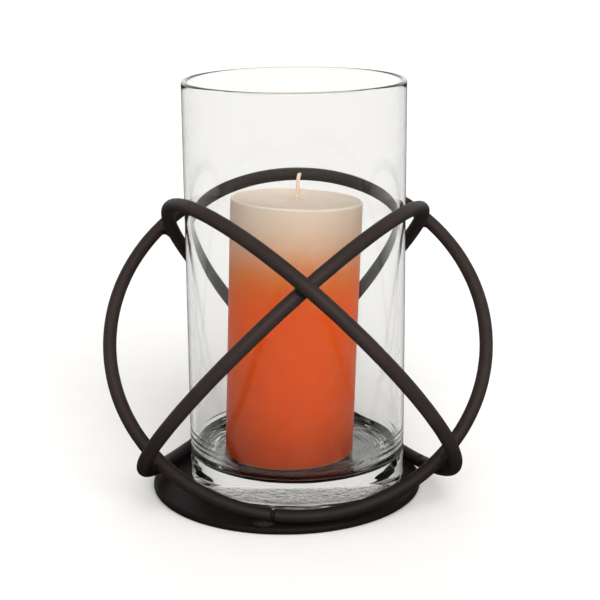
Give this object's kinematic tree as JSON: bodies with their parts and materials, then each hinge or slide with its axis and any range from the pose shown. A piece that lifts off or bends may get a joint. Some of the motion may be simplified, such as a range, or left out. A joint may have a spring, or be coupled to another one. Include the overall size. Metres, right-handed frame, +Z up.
{
  "type": "pillar candle holder",
  "caption": "Hurricane-style pillar candle holder: tilted interlocking round-rod rings on a round plate, around a tall clear glass cylinder with a wax pillar candle.",
  "frame": {"origin": "middle of the base plate's underside, on the surface it rests on", "axes": "+Z up; +X to the right of a viewer who faces the front ring's low point; +Y away from that viewer, to the back"},
  "size_m": [0.2284, 0.2228, 0.242],
  "materials": {
    "rod_and_plate_steel": "satin brown-black powder coat, faintly grained",
    "weld_bead": "lumpy weld under the same coat, a little glossier",
    "clear_glass": "polished, clear, faintly wavy in the thick foot",
    "candle_wax": "satin translucent wax, cream at the top fading to orange below",
    "wick_cotton": "braided, wax-coated cotton",
    "sustainer_tinplate": "thin pressed tinplate"
  },
  "bodies": {
    "stand": {"base_plate": "rod_and_plate_steel", "front_ring": "rod_and_plate_steel", "right_ring": "rod_and_plate_steel", "left_ring": "rod_and_plate_steel", "front_ring_seam_weld": "weld_bead", "right_ring_seam_weld": "weld_bead", "left_ring_seam_weld": "weld_bead", "front_ring_base_weld": "weld_bead", "right_ring_base_weld": "weld_bead", "left_ring_base_weld": "weld_bead", "upper_weld_front": "weld_bead", "upper_weld_right": "weld_bead", "upper_weld_left": "weld_bead", "lower_weld_left": "weld_bead", "lower_weld_right": "weld_bead", "lower_weld_back": "weld_bead"},
    "glass": {"glass_cylinder": "clear_glass"},
    "candle": {"pillar_candle": "candle_wax", "wick": "wick_cotton", "wick_sustainer": "sustainer_tinplate"}
  },
  "joints": [
    {"name": "glass_lift_out", "type": "slide", "parent": "stand", "child": "glass", "axis": [0, 0, 1], "range_m": [0, 0.2]},
    {"name": "candle_lift_out", "type": "slide", "parent": "glass", "child": "candle", "axis": [0, 0, 1], "range_m": [0, 0.235]}
  ]
}
